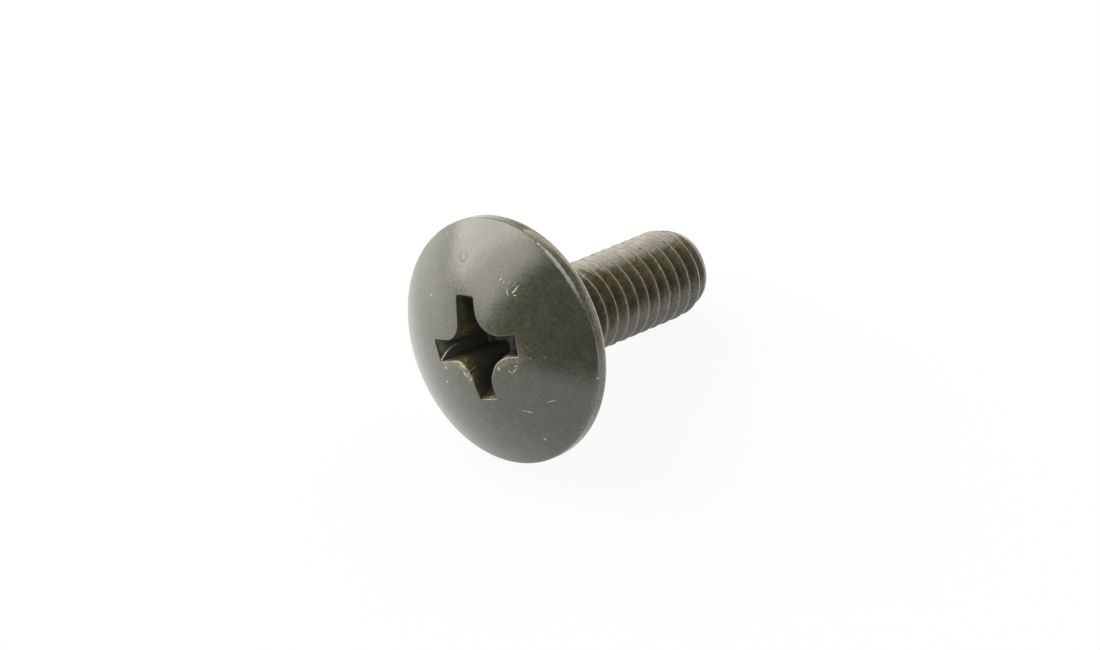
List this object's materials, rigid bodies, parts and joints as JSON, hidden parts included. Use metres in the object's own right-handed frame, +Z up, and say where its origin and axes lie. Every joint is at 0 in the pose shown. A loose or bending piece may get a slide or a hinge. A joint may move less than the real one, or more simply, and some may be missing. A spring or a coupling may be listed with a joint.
{
  "type": "machine screw",
  "caption": "Truss-head machine screw with a cross recess and a full-length right-hand thread, lying on its rim and thread.",
  "frame": {"origin": "on the surface that the screw lies on, under the centre of its bounding box", "axes": "+Z up, +X from the head towards the tip, seen from above; the screw's axis lies in the XZ plane and dips 18.8 degrees towards the tip"},
  "size_m": [0.0204, 0.016, 0.0154],
  "materials": {
    "coated_steel": "olive-black conversion coating on steel, half matt, worn to bare metal on the edges"
  },
  "bodies": {
    "root": {"screw": "coated_steel"}
  },
  "joints": []
}
